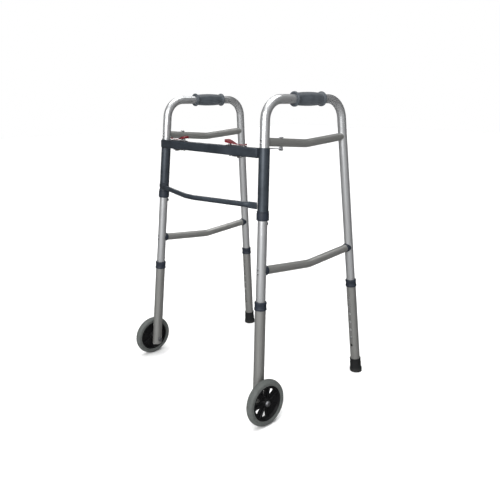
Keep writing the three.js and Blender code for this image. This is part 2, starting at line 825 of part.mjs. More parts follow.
const walker = new THREE.Group();
addMesh(walker, "front_crossbar", crossbarGeometry(), finish.paint);
addMesh(walker, "lower_front_bar", lowerBarGeometry(), finish.paint);
for (const [side, name] of [[-1, "left"], [1, "right"]]) {
  addFrontFrame(walker, side, name);
  addSide(walker, side, name);
}

export default walker;
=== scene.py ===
import json
import math

import bmesh
import bpy
from mathutils import Matrix, Vector


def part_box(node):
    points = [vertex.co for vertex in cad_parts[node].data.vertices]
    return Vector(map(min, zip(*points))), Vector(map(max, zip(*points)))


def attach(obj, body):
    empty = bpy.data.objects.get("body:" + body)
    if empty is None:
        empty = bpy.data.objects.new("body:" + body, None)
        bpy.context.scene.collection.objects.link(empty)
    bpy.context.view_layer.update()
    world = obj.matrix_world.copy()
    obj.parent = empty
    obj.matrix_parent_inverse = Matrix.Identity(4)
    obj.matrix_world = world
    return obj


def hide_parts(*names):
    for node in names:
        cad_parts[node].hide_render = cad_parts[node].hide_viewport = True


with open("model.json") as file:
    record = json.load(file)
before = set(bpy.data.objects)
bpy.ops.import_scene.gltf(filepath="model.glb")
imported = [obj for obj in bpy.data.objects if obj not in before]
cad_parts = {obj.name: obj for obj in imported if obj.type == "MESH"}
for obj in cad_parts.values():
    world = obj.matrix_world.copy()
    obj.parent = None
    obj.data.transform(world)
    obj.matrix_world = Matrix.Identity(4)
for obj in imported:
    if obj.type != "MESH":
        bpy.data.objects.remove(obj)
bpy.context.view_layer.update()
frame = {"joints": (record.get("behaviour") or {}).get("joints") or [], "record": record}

JOINTS = {joint["name"]: joint for joint in frame["joints"]}
BODY_OF = {
    node: body
    for body, nodes in frame["record"]["behaviour"]["bodies"].items()
    for node in nodes
}
SLOT_OF = {part["node"]: part["material_slot"] for part in frame["record"]["subparts"]}
SIDES = (("left", -1), ("right", 1))
ENDS = ("front", "rear")
UP = Vector((0, 0, 1))
BACK = Vector((0, 1, 0))
TINY = 1e-6
NEARLY_STRAIGHT = 0.01  # radians; a flatter corner stays as it is
LONGEST_TRIM = 0.49  # share of a side that an arc may take up
SQUARE = ((-1, -1), (1, -1), (1, 1), (-1, 1))

# ---- sizes, in metres ----

GAP = 0.0003  # between pieces that touch
TUBE_RADIUS = 0.0127  # 1 inch tube of the side frames
TUBE_WALL = 0.0012
BRACE_RADIUS = 0.0111  # 7/8 inch tube of the braces
LEG_RADIUS = 0.0143
SLEEVE_RADIUS = 0.0144
BORE_RADIUS = 0.01315  # every tube that fits round the 1 inch tube
HOOP_BEND = 0.057
BRACE_BEND = 0.09
RIM = 0.0003  # rounding of a cut tube's edges
TOOL_EDGE = 0.0001
DEEP = 0.02  # how far a cutter reaches past what it cuts
BOX_INSET = 0.001  # a leaning tube's axis ends this far inside its box
CURVE_STEPS = 24
ROUND = 48  # facets round a tube

UPPER_BRACE = {"height": 0.727, "dip": 0.012}
LOWER_BRACE = {"height": 0.396, "dip": 0.016}

HOLE_RADIUS = 0.0043
HOLE_CUT = (0.006, 0.02)  # where a hole's cutter starts and stops, off the leg's axis

# Heights along a leg, from its snap button.
HOLE_PITCH = 0.0254
HOLES_BELOW = 1
HOLES_ABOVE = 5
LEG_BOTTOM = -0.0924
LEG_TOP = 0.1746
HOOP_END = -0.016


# ---- lines and frames ----


def joint_point(name):
    """Where a joint is at rest."""
    return Vector(JOINTS[name]["pos_m"])


def joint_axis(name):
    """The way a joint turns about or slides along."""
    return Vector(JOINTS[name]["axis"]).normalized()


def centre(node):
    """Middle of a CAD node's box."""
    low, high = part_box(node)
    return (low + high) / 2


def line_along(matrix, low, high):
    """Two points on a matrix's Z."""
    return [matrix @ Vector((0, 0, low)), matrix @ Vector((0, 0, high))]


def basis(origin, z_axis, y_hint):
    """Matrix with its Z along z_axis and its Y as near to y_hint as that allows."""
    z = z_axis.normalized()
    y = (y_hint - z * y_hint.dot(z)).normalized()
    return Matrix.Translation(origin) @ Matrix((y.cross(z), y, z)).transposed().to_4x4()


def leg_matrix(end, name):
    """A leg's own frame: Z up its axis from the snap button, Y towards the other leg."""
    point = joint_point(f"height_{end}_{name}")
    return basis(point, -joint_axis(f"height_{end}_{name}"), -joint_axis(f"snap_{end}_{name}"))


def on_leg(end, name, height):
    """The point of a leg's axis at a height above the floor."""
    matrix = leg_matrix(end, name)
    up = matrix.col[2].to_3d()
    start = matrix.translation
    return start + up * ((height - start.z) / up.z)


def rounded(corners, radius, steps, closed=False):
    """The corners of a line, in 2 or 3 dimensions, each replaced by an arc."""
    corners = [Vector(corner) for corner in corners]
    count = len(corners)
    points = []
    for i, corner in enumerate(corners):
        if not closed and i in (0, count - 1):
            points.append(corner)
            continue
        back = corners[i - 1] - corner
        on = corners[(i + 1) % count] - corner
        reach = min(back.length, on.length) * LONGEST_TRIM
        back.normalize()
        on.normalize()
        half = back.angle(on) / 2
        if math.pi / 2 - half < NEARLY_STRAIGHT:
            points.append(corner)
            continue
        trim = min(radius / math.tan(half), reach)
        bend = trim * math.tan(half)
        middle = corner + (back + on).normalized() * (bend / math.sin(half))
        start = corner + back * trim
        out = (start - middle).normalized()
        for step in range(steps + 1):
            turn = (math.pi - 2 * half) * step / steps
            points.append(middle + (out * math.cos(turn) - back * math.sin(turn)) * bend)
    return points


def stations(path):
    """A frame at each point of a path, Z along it, that doesn't twist, and the way along."""
    count = len(path)
    found = []
    along = 0.0
    for i, point in enumerate(path):
        ahead = path[min(i + 1, count - 1)] - path[max(i - 1, 0)]
        if i == 0:
            side = BACK if abs(ahead.normalized().dot(BACK)) < 0.7 else UP
        else:
            along += (point - path[i - 1]).length
            side = found[-1][0].col[1].to_3d()
        found.append((basis(point, ahead, side), along))
    return found


# ---- meshes ----


def add_object(name, data, matrix=None):
    """Puts a mesh, a lamp or a camera in the scene."""
    item = bpy.data.objects.new(name, data)
    if matrix is not None:
        item.matrix_world = matrix
    bpy.context.scene.collection.objects.link(item)
    return item


def make_object(mesh):
    """Object made from a bmesh, with its faces pointing out."""
    bmesh.ops.recalc_face_normals(mesh, faces=mesh.faces)
    data = bpy.data.meshes.new("piece")
    mesh.to_mesh(data)
    mesh.free()
    return add_object("piece", data)


def join_rings(mesh, first, second):
    """Faces between two rings of points, either of which may be a single point."""
    if len(first) == 1 and len(second) == 1:
        return
    count = max(len(first), len(second))
    for i in range(count):
        j = (i + 1) % count
        if len(first) == 1:
            mesh.faces.new((first[0], second[j], second[i]))
        elif len(second) == 1:
            mesh.faces.new((first[i], first[j], second[0]))
        else:
            mesh.faces.new((first[i], first[j], second[j], second[i]))


def skin(rows, closed, around=ROUND):
    """Round surface through rows of (matrix, radius). Closed joins the last row to the first."""
    mesh = bmesh.new()
    rings = []
    for matrix, radius in rows:
        count = 1 if radius < TINY else around
        turns = (2 * math.pi * i / around for i in range(count))
        points = (Vector((radius * math.cos(t), radius * math.sin(t), 0)) for t in turns)
        rings.append([mesh.verts.new(matrix @ point) for point in points])
    for first, second in zip(rings, rings[1:] + rings[:1] if closed else rings[1:]):
        join_rings(mesh, first, second)
    return make_object(mesh)


def lathe(matrix, profile, closed=False, around=ROUND):
    """Solid of revolution about the matrix's Z from (radius, height) pairs."""
    rows = [(matrix @ Matrix.Translation((0, 0, height)), radius) for radius, height in profile]
    return skin(rows, closed, around)


def turned(matrix, corners, fillet, closed=False, around=ROUND, steps=3):
    """Lathe of a profile with rounded corners."""
    return lathe(matrix, rounded(corners, fillet, steps, closed), closed, around)


def pipe(path, outer, wall):
    """Tube along a path, open at both ends, with rounded rims."""
    head = path[0] + (path[1] - path[0]).normalized() * RIM
    tail = path[-1] + (path[-2] - path[-1]).normalized() * RIM
    found = [matrix for matrix, _ in stations([path[0], head, *path[1:-1], tail, path[-1]])]
    radii = [outer - RIM] + [outer] * (len(found) - 2) + [outer - RIM]
    rows = list(zip(found, radii))
    rows += [(matrix, outer - wall) for matrix in reversed(found)]
    return skin(rows, closed=True)


def plate(matrix, outline, low, high, bevel, segments=2):
    """Flat piece: an outline in the matrix's XY plane, raised from low to high, with soft edges."""
    mesh = bmesh.new()
    verts = [mesh.verts.new((x, y, low)) for x, y in outline]
    face = mesh.faces.new(verts)
    raised = bmesh.ops.extrude_face_region(mesh, geom=[face])["geom"]
    top = [item for item in raised if isinstance(item, bmesh.types.BMVert)]
    bmesh.ops.translate(mesh, verts=top, vec=(0, 0, high - low))
    rims = [e for e in mesh.edges if abs(e.verts[0].co.z - e.verts[1].co.z) < TINY]
    bmesh.ops.bevel(mesh, geom=rims, offset=bevel, segments=segments, affect="EDGES", profile=0.5)
    mesh.transform(matrix)
    return make_object(mesh)


def cutter(matrix, outline, low, high):
    """Plate with nearly sharp edges, to cut with."""
    return plate(matrix, outline, low, high, TOOL_EDGE)


def modify(piece, kind, **settings):
    """Adds a modifier and applies it at once."""
    modifier = piece.modifiers.new(kind.lower(), kind)
    for key, value in settings.items():
        setattr(modifier, key, value)
    graph = bpy.context.evaluated_depsgraph_get()
    data = bpy.data.meshes.new_from_object(piece.evaluated_get(graph))
    piece.modifiers.clear()
    old = piece.data
    piece.data = data
    bpy.data.meshes.remove(old)


def soften(piece, width, angle, segments=2):
    """Bevels every edge that turns by more than an angle in degrees."""
    limit = math.radians(angle)
    modify(piece, "BEVEL", width=width, segments=segments, limit_method="ANGLE", angle_limit=limit)


def carve(piece, *tools, operation="DIFFERENCE"):
    """Cuts a piece by each tool in turn and removes the tools."""
    for tool in tools:
        modify(piece, "BOOLEAN", operation=operation, solver="EXACT", object=tool)
        bpy.data.objects.remove(tool)


def merge(pieces):
    """Several objects as one."""
    mesh = bmesh.new()
    for piece in pieces:
        mesh.from_mesh(piece.data)
        bpy.data.objects.remove(piece)
    return make_object(mesh)


def bar(start, stop, radius, around=ROUND):
    """Plain rod, as a cutting tool."""
    matrix = basis(start, stop - start, UP if abs((stop - start).normalized().z) < 0.7 else BACK)
    length = (stop - start).length
    return lathe(matrix, [(0, 0), (radius, 0), (radius, length), (0, length)], around=around)


def lay_grain(piece, path):
    """Stores each point's place round and along a path, which the materials' grain follows."""
    found = stations(path)
    inverses = [(matrix.inverted(), along) for matrix, along in found[:-1]]
    lengths = [b[1] - a[1] for a, b in zip(found, found[1:])]
    values = []
    for vertex in piece.data.vertices:
        best = None
        for (inverse, along), length in zip(inverses, lengths):
            local = inverse @ vertex.co
            inside = min(max(local.z, 0), length)
            miss = local.x**2 + local.y**2 + (local.z - inside) ** 2
            if best is None or miss < best[0]:
                best = (miss, local.x, local.y, along + local.z)
        values.extend(best[1:])
    attribute = piece.data.attributes.new("grain", "FLOAT_VECTOR", "POINT")
    attribute.data.foreach_set("vector", values)


def fit(piece, node, path, sharp=32):
    """Gives a finished piece its name and the place of its CAD node: body, slot and material."""
    piece.name = piece.data.name = f"{node}.fine"
    lay_grain(piece, path)
    piece.data.polygons.foreach_set("use_smooth", [True] * len(piece.data.polygons))
    piece.data.set_sharp_from_angle(angle=math.radians(sharp))
    piece.data.materials.clear()
    piece.data.materials.append(MATERIALS[SLOT_OF[node]])
    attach(piece, BODY_OF[node])
    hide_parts(node)


# ---- materials ----


NOISE_SPAN = (0.3, 0.7)  # most of a noise's values lie in here


def add_node(tree, kind, inputs=None, **settings):
    """A new node. Each input is a socket to link from, or a constant."""
    node = tree.nodes.new(kind)
    for key, value in settings.items():
        setattr(node, key, value)
    for key, value in (inputs or {}).items():
        if isinstance(value, bpy.types.NodeSocket):
            tree.links.new(value, node.inputs[key])
        else:
            node.inputs[key].default_value = value
    return node


class Finish:
    """A new material round one Principled shader."""

    def __init__(self, name, **values):
        """Values are the shader's constants, with _ for each space."""
        self.material = bpy.data.materials.new(name)
        self.material.use_nodes = True
        self.tree = self.material.node_tree
        self.shader = self.tree.nodes["Principled BSDF"]
        for key, value in values.items():
            self.shader.inputs[key.replace("_", " ")].default_value = value
        self.grain = self.add("ShaderNodeAttribute", attribute_name="grain").outputs["Vector"]

    def add(self, kind, inputs=None, **settings):
        """A new node of this material."""
        return add_node(self.tree, kind, inputs, **settings)

    def set(self, key, socket):
        """Links a socket to one of the shader's inputs."""
        self.tree.links.new(socket, self.shader.inputs[key])

    def noise(self, scale, stretch=1.0, detail=3.0, roughness=0.5):
        """Noise from 0 to 1. Stretch under 1 draws it out along the piece."""
        vector = self.add(
            "ShaderNodeVectorMath", {0: self.grain, 1: (scale, scale, scale * stretch)}, operation="MULTIPLY"
        ).outputs[0]
        inputs = {"Vector": vector, "Scale": 1.0, "Detail": detail, "Roughness": roughness}
        return self.add("ShaderNodeTexNoise", inputs).outputs[0]

    def remap(self, value, low, high, new_low, new_high):
        """A value's range moved to a new one, and held within it."""
        inputs = {"Value": value, "From Min": low, "From Max": high, "To Min": new_low, "To Max": new_high}
        return self.add("ShaderNodeMapRange", inputs).outputs[0]

    def mix(self, factor, first, second):
        """Colour between two, by a factor from 0 to 1."""
        inputs = {0: factor}
        for slot, value in ((6, first), (7, second)):
            inputs[slot] = value if isinstance(value, bpy.types.NodeSocket) else (*value, 1)
        return self.add("ShaderNodeMix", inputs, data_type="RGBA").outputs[2]

    def blend(self, value, low, high, first, second):
        """Colour that runs from first to second as a value rises from low to high."""
        return self.mix(self.remap(value, low, high, 0, 1), first, second)

    def vary(self, key, noise, low, high):
        """Lets a noise move one of the shader's values between low and high."""
        self.set(key, self.remap(noise, *NOISE_SPAN, low, high))

    def edges(self, low, high):
        """0 on flat and hollow places, up to 1 on worn outer edges, broken up by noise."""
        point = self.add("ShaderNodeNewGeometry").outputs["Pointiness"]
        edge = self.remap(point, low, high, 0.0, 1.0)
        patches = self.remap(self.noise(180, detail=4.0), 0.42, 0.62, 0.0, 1.0)
        return self.add("ShaderNodeMath", {0: edge, 1: patches}, operation="MULTIPLY").outputs[0]

    def emboss(self, height, strength, distance):
        """Relief of the surface, from a height of 0 to 1."""
        inputs = {"Height": height, "Strength": strength, "Distance": distance}
        self.set("Normal", self.add("ShaderNodeBump", inputs).outputs[0])


def drawn_metal(name, metallic, lines, stains, cover, tones, stained, rough, bump):
    """Metal with fine lines along the piece, and stains that also change how rough it is."""
    finish = Finish(name, Metallic=metallic)
    line = finish.noise(*lines)
    stain = finish.noise(*stains)
    tone = finish.blend(line, *NOISE_SPAN, *tones)
    finish.set("Base Color", finish.mix(finish.remap(stain, 0.5, *cover), tone, stained))
    finish.vary("Roughness", stain, *rough)
    finish.emboss(line, *bump)
    return finish.material


def tube_metal(name, metallic, tones, smudged, rough):
    """Satin anodised aluminium with fine lengthwise drawing lines and faint handling smudges."""
    return drawn_metal(
        name, metallic, lines=(2600, 0.004, 2.0), stains=(22, 0.35, 4.0), cover=(0.8, 0, 0.5),
        tones=tones, stained=smudged, rough=rough, bump=(0.12, 0.00006),
    )


def silver_tube():
    """Bright upper tubes."""
    tones = (0.58, 0.59, 0.60), (0.68, 0.69, 0.70)
    return tube_metal("silver_tube", 0.85, tones, (0.50, 0.51, 0.515), rough=(0.25, 0.35))


def dull_tube():
    """Greyer braces and lower legs."""
    tones = (0.25, 0.25, 0.24), (0.33, 0.33, 0.32)
    return tube_metal("dull_tube", 0.7, tones, (0.21, 0.21, 0.20), rough=(0.35, 0.45))


def clouded(name, fine, clouds, tones, worn, rough, bump, edge=(0.53, 0.6), **values):
    """Moulded or sprayed surface: a fine texture, clouds of two tones and worn edges."""
    finish = Finish(name, **values)
    texture = finish.noise(fine, detail=2.0)
    scale, detail, low, high = clouds
    tone = finish.blend(finish.noise(scale, detail=detail), low, high, *tones)
    finish.set("Base Color", finish.mix(finish.edges(*edge), tone, worn))
    finish.vary("Roughness", texture, *rough)
    finish.emboss(texture, *bump)
    return finish.material


def front_paint():
    """Dark slate powder coat: fine orange peel, a little metal fleck and rubbed edges."""
    tones = (0.022, 0.029, 0.038), (0.044, 0.055, 0.069)
    return clouded(
        "front_paint", fine=950, clouds=(26, 3.0, 0.3, 0.7), tones=tones, edge=(0.56, 0.66),
        worn=(0.10, 0.115, 0.13), rough=(0.36, 0.5), bump=(0.25, 0.00012),
        Metallic=0.5, Coat_Weight=0.2, Coat_Roughness=0.3,
    )


def grip_rubber():
    """Matt moulded vinyl, dark blue grey, with a leathery grain and rubbed high places."""
    finish = Finish("grip_rubber", Sheen_Weight=0.12, Sheen_Roughness=0.5)
    inputs = {"Vector": finish.grain, "Scale": 420.0, "Randomness": 1.0}
    pores = finish.add("ShaderNodeTexVoronoi", inputs, feature="DISTANCE_TO_EDGE").outputs[0]
    cloud = finish.noise(45, detail=4.0)
    tone = finish.blend(cloud, 0.35, 0.65, (0.032, 0.040, 0.049), (0.046, 0.056, 0.067))
    finish.set("Base Color", finish.mix(finish.edges(0.52, 0.58), tone, (0.085, 0.098, 0.112)))
    finish.vary("Roughness", cloud, 0.46, 0.62)
    finish.emboss(finish.remap(pores, 0.0, 0.18, 0, 1), 0.3, 0.00015)
    return finish.material


def collar_plastic():
    """Near black navy moulded plastic with a spark-eroded texture and pale scuffs."""
    tones = (0.009, 0.013, 0.021), (0.015, 0.020, 0.031)
    return clouded(
        "collar_plastic", fine=1500, clouds=(60, 3.0, 0.35, 0.65), tones=tones,
        worn=(0.08, 0.09, 0.105), rough=(0.38, 0.56), bump=(0.2, 0.00008), Specular_IOR_Level=0.35,
    )


def tip_rubber():
    """Black rubber, dusty grey near the floor."""
    finish = Finish("tip_rubber", Specular_IOR_Level=0.25)
    speckle = finish.noise(900, detail=3.0)
    place = finish.add("ShaderNodeSeparateXYZ", {"Vector": finish.grain}).outputs["Z"]
    dust = finish.remap(place, 0.0, 0.014, 0.5, 0.0)
    dust = finish.add(
        "ShaderNodeMath", {0: dust, 1: finish.noise(120, detail=5.0)}, operation="MULTIPLY"
    ).outputs[0]
    tone = finish.blend(speckle, 0.3, 0.7, (0.005, 0.0055, 0.006), (0.010, 0.011, 0.0115))
    finish.set("Base Color", finish.mix(dust, tone, (0.10, 0.098, 0.092)))
    finish.vary("Roughness", speckle, 0.55, 0.75)
    finish.emboss(speckle, 0.25, 0.0001)
    return finish.material


def grey_tyre():
    """Mid grey tyre, darker and scuffed where it rolls."""
    finish = Finish("grey_tyre", Specular_IOR_Level=0.3)
    speckle = finish.noise(700, detail=4.0)
    cloud = finish.noise(55, detail=5.0, roughness=0.6)
    tone = finish.blend(cloud, 0.3, 0.7, (0.066, 0.072, 0.069), (0.090, 0.097, 0.093))
    dirt = finish.remap(finish.noise(140, detail=6.0), 0.5, 0.75, 0.0, 0.55)
    finish.set("Base Color", finish.mix(dirt, tone, (0.060, 0.060, 0.056)))
    finish.vary("Roughness", speckle, 0.55, 0.78)
    finish.emboss(speckle, 0.3, 0.00012)
    return finish.material


def hub_plastic():
    """Black moulded nylon with a faint flow pattern and scuffed rims."""
    tones = (0.003, 0.0031, 0.0034), (0.007, 0.0072, 0.0078)
    return clouded(
        "hub_plastic", fine=1100, clouds=(40, 4.0, 0.3, 0.7), tones=tones,
        worn=(0.06, 0.062, 0.065), rough=(0.28, 0.42), bump=(0.15, 0.00006), Specular_IOR_Level=0.25,
    )


def red_plastic():
    """Deep red moulded lever, slightly glossy, rubbed by fingers."""
    tones = (0.09, 0.003, 0.007), (0.15, 0.006, 0.011)
    return clouded(
        "red_plastic", fine=1300, clouds=(90, 3.0, 0.35, 0.65), tones=tones,
        worn=(0.20, 0.02, 0.024), rough=(0.3, 0.45), bump=(0.15, 0.00006),
        Coat_Weight=0.15, Coat_Roughness=0.25,
    )


def zinc_steel():
    """Dulled zinc plate with faint brushed lines and blue-grey stains."""
    return drawn_metal(
        "zinc_steel", 1.0, lines=(1800, 0.02, 3.0), stains=(120, 1.0, 4.0), cover=(0.75, 0, 0.6),
        tones=((0.27, 0.275, 0.285), (0.36, 0.365, 0.375)), stained=(0.17, 0.18, 0.20),
        rough=(0.34, 0.5), bump=(0.1, 0.00005),
    )


MATERIALS = {
    make.__name__: make()
    for make in (
        silver_tube, dull_tube, front_paint, grip_rubber, collar_plastic,
        tip_rubber, grey_tyre, hub_plastic, red_plastic, zinc_steel,
    )
}

# ---- side frames ----


def leg_point(end, name, up, across=0.0, aside=0.0):
    """A place given in a leg's own frame: up its axis, towards the other leg, and sideways."""
    return leg_matrix(end, name) @ Vector((aside, across, up))


def leg_bar(end, name, height, radius, reach=0.04):
    """Cylinder about a leg's axis, which copes what meets the leg."""
    middle = on_leg(end, name, height)
    up = leg_matrix(end, name).col[2].to_3d() * reach
    return bar(middle - up, middle + up, radius)


def drill(piece, end, name, up, radius):
    """Makes a hole in the side of a leg's tube that faces the other leg."""
    start, stop = (leg_point(end, name, up, across) for across in HOLE_CUT)
    carve(piece, bar(start, stop, radius))


def brace_line(brace, name):
    """The three corners of a brace's centre line, from leg to leg."""
    ends = [on_leg(end, name, brace["height"]) for end in ENDS]
    middle = (ends[0] + ends[1]) / 2 - UP * brace["dip"]
    return [ends[0], middle, ends[1]]


def hoop(name):
    """The bent tube of one side, from inside one lower leg to inside the other."""
    grip_height = centre(f"hand_grip_{name}").z
    corners = [leg_point("front", name, HOOP_END)]
    corners += [on_leg(end, name, grip_height) for end in ENDS]
    corners.append(leg_point("rear", name, HOOP_END))
    path = rounded(corners, HOOP_BEND, 20)
    piece = pipe(path, TUBE_RADIUS, TUBE_WALL)
    for end in ENDS:
        drill(piece, end, name, 0, HOLE_RADIUS - GAP)
    fit(piece, f"side_hoop_{name}", path)


GRIP = {
    "waist": 0.0162, "belly": 0.0194, "fullness": 0.8, "flange": 0.0206, "flange_width": 0.0062,
    "ribs": 10, "flute": 0.0005, "fluted": (0.1, 0.9),
}


def hand_grip(name):
    """Moulded grip: a flange at each end, a fuller middle and shallow lengthwise flutes."""
    node = f"hand_grip_{name}"
    low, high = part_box(node)
    corners = [on_leg(end, name, (low.z + high.z) / 2) for end in ENDS]
    axis = (corners[1] - corners[0]).normalized()
    length = high.y - low.y
    matrix = basis(centre(node) - axis * length / 2, axis, UP)
    flange, width = GRIP["flange"], GRIP["flange_width"]
    body = []
    for i in range(CURVE_STEPS + 1):
        share = i / CURVE_STEPS
        swell = math.sin(math.pi * share) ** GRIP["fullness"]
        radius = GRIP["waist"] + (GRIP["belly"] - GRIP["waist"]) * swell
        body.append((radius, width + 0.003 + share * (length - 2 * width - 0.006)))
    lip = [(BORE_RADIUS, 0), (flange - 0.0018, 0), (flange, 0.002), (flange, width - 0.0016)]
    end = [(radius, length - height) for radius, height in reversed(lip)]
    profile = rounded(lip + body + end, 0.0012, 4, closed=True)
    piece = lathe(matrix, profile, closed=True, around=96)
    flute_grip(piece, matrix, length)
    fit(piece, node, line_along(matrix, 0, length), sharp=50)


def flute_grip(piece, matrix, length):
    """Presses finger-wide flutes round the middle of a grip, fading out towards its ends."""
    inverse = matrix.inverted()
    first, last = GRIP["fluted"]
    for vertex in piece.data.vertices:
        local = inverse @ vertex.co
        radius = math.hypot(local.x, local.y)
        share = local.z / length
        if radius < GRIP["waist"] - 0.001 or not first < share < last:
            continue
        fade = math.sin(math.pi * (share - first) / (last - first))
        wave = 0.5 - 0.5 * math.cos(GRIP["ribs"] * math.atan2(local.y, local.x))
        scale = 1 - GRIP["flute"] * fade * wave / radius
        vertex.co = matrix @ Vector((local.x * scale, local.y * scale, local.z))


def upper_brace(name):
    """Bent tube, coped to both legs, with the hole of the lock's bolt."""
    path = rounded(brace_line(UPPER_BRACE, name), BRACE_BEND, 12)
    piece = pipe(path, BRACE_RADIUS, TUBE_WALL)
    copes = [leg_bar(end, name, UPPER_BRACE["height"], TUBE_RADIUS + GAP) for end in ENDS]
    bolt = joint_point(f"lock_link_{name}")
    axis = bolt_axis(name)
    hole = bar(bolt, bolt + axis * BOLT["reach"], BOLT["shank"] + GAP)
    carve(piece, *copes, hole)
    fit(piece, f"upper_brace_{name}", path)


SADDLE_REACH = 0.018
SADDLE_RADIUS = 0.0122


def lower_brace(name):
    """Bent tube that ends in the two plastic saddles."""
    path = rounded(brace_line(LOWER_BRACE, name), BRACE_BEND, 12)
    piece = pipe(path, BRACE_RADIUS, TUBE_WALL)
    height = LOWER_BRACE["height"]
    carve(piece, *[leg_bar(end, name, height, SADDLE_REACH + GAP) for end in ENDS])
    fit(piece, f"lower_brace_{name}", path)


def end_of_brace(brace, end, name):
    """Where a brace's line leaves a leg's axis, and its way from there."""
    line = brace_line(brace, name)
    start = line[0] if end == "front" else line[2]
    return start, (line[1] - start).normalized()


def brace_saddle(end, name):
    """Plastic saddle that fills the space between a leg and the lower brace, with a raised lip."""
    start, along = end_of_brace(LOWER_BRACE, end, name)
    matrix = basis(start, along, UP)
    reach = SADDLE_REACH + 0.006
    inner = BRACE_RADIUS - TUBE_WALL - GAP
    lip = SADDLE_RADIUS + 0.0007
    body = SADDLE_RADIUS - 0.0004
    corners = [(0, 0.004), (lip, 0.004), (lip, SADDLE_REACH - 0.0025), (body, SADDLE_REACH - 0.001)]
    corners += [(body, SADDLE_REACH), (inner, SADDLE_REACH), (inner, reach), (0, reach)]
    piece = turned(matrix, corners, 0.0006)
    carve(piece, leg_bar(end, name, LOWER_BRACE["height"], TUBE_RADIUS + GAP))
    fit(piece, f"brace_saddle_{end}_{name}", [start, start + along * reach])


RIVET = {"spread": 0.0055, "radius": 0.0036, "dome": 0.0018, "into": 0.011}


def rivets(brace, kind, end, name):
    """The two rivets of one joint, one above the other, with domed heads outside the leg."""
    start, along = end_of_brace(brace, end, name)
    up = leg_matrix(end, name).col[2].to_3d()
    head = RIVET["radius"]
    pieces = []
    for offset in (-RIVET["spread"], RIVET["spread"]):
        place = start + up * offset - along * (TUBE_RADIUS + RIVET["dome"])
        length = RIVET["dome"] + 2 * TUBE_RADIUS + RIVET["into"]
        shank = head * 0.55
        corners = [(0, 0), (shank, 0.0001), (head, RIVET["dome"] * 0.75), (head, RIVET["dome"])]
        corners += [(shank, RIVET["dome"]), (shank, length), (0, length)]
        matrix = basis(place, along, UP)
        pieces.append(turned(matrix, corners, 0.0008, around=24, steps=4))
    fit(merge(pieces), f"{kind}_rivet_{end}_{name}", [start - along * 0.02, start + along * 0.03])


STOP = {"shank": 0.0025, "head": 0.0045, "dome": 0.0012}


def stop_pin(name):
    """Dark button below the sleeve that keeps the side frame from sliding up."""
    node = f"sleeve_stop_pin_{name}"
    low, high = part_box(node)
    radius = (high.x - low.x) / 2
    middle = (low + high) / 2
    matrix = basis(Vector((middle.x, low.y, middle.z)), BACK, UP)
    length = high.y - low.y
    shank, neck = STOP["shank"], length - STOP["head"]
    corners = [(0, 0), (shank, 0), (shank, neck), (radius, neck)]
    corners += [(radius, length - STOP["dome"]), (0, length)]
    fit(turned(matrix, corners, 0.0009, around=32), node, line_along(matrix, 0, length))


# ---- lower legs ----


def lower_leg(end, name):
    """Outer tube with its row of setting holes, and on a front leg the axle's cross hole."""
    path = [leg_point(end, name, LEG_BOTTOM), leg_point(end, name, LEG_TOP)]
    piece = pipe(path, LEG_RADIUS, LEG_RADIUS - BORE_RADIUS)
    for i in range(-HOLES_BELOW, HOLES_ABOVE + 1):
        drill(piece, end, name, i * HOLE_PITCH, HOLE_RADIUS)
    if end == "front":
        middle, axis = joint_point(f"wheel_{name}"), joint_axis(f"wheel_{name}")
        reach = axis * AXLE["reach"]
        carve(piece, bar(middle - reach, middle + reach, AXLE["shank"] + GAP))
    soften(piece, 0.00025, 50)
    fit(piece, f"lower_leg_{end}_{name}", path)


COLLAR = {"bottom": -0.0127, "top": 0.0093, "radius": 0.0163, "waist": 0.0155}


def leg_collar(end, name):
    """Plastic collar between the two tubes of a leg: a stepped skirt and a narrower lip."""
    node = f"leg_collar_{end}_{name}"
    matrix = leg_matrix(end, name) @ Matrix.Translation((0, 0, LEG_TOP))
    bottom, top, radius, waist = (COLLAR[key] for key in ("bottom", "top", "radius", "waist"))
    inner = LEG_RADIUS + GAP
    corners = [
        (inner, bottom), (radius, bottom), (radius, bottom + 0.005), (waist, bottom + 0.0058),
        (waist, top - 0.0062), (radius, top - 0.0054), (radius - 0.0002, top - 0.002),
        (radius - 0.0018, top), (BORE_RADIUS, top), (BORE_RADIUS, GAP), (inner, GAP),
    ]
    fit(turned(matrix, corners, 0.0005, closed=True), node, line_along(matrix, bottom, top))


LEAF = ((-4, -16), (4, -16), (4, 6), (-4, 6))  # flat end of a button's spring, in millimetres


def snap_button(end, name):
    """Domed pin that stands out of a setting hole, on its flat spring inside the tube."""
    matrix = leg_matrix(end, name) @ Matrix.Rotation(-math.pi / 2, 4, "X")
    radius = HOLE_RADIUS - 0.0005
    base, tip = 0.0092, 0.0166
    corners = [(0, base), (radius, base), (radius, tip - 0.0026), (radius * 0.72, tip - 0.0006), (0, tip)]
    pin = turned(matrix, corners, 0.0012, around=32, steps=5)
    outline = rounded(LEAF, 3.9, 8, closed=True)
    leaf = plate(matrix, [point / 1000 for point in outline], base - 0.0008, base + 0.0002, 0.0002)
    fit(merge([pin, leaf]), f"snap_button_{end}_{name}", line_along(matrix, base, tip))


TIP = {"radius": 0.0185, "neck": 0.0163, "height": 0.042}


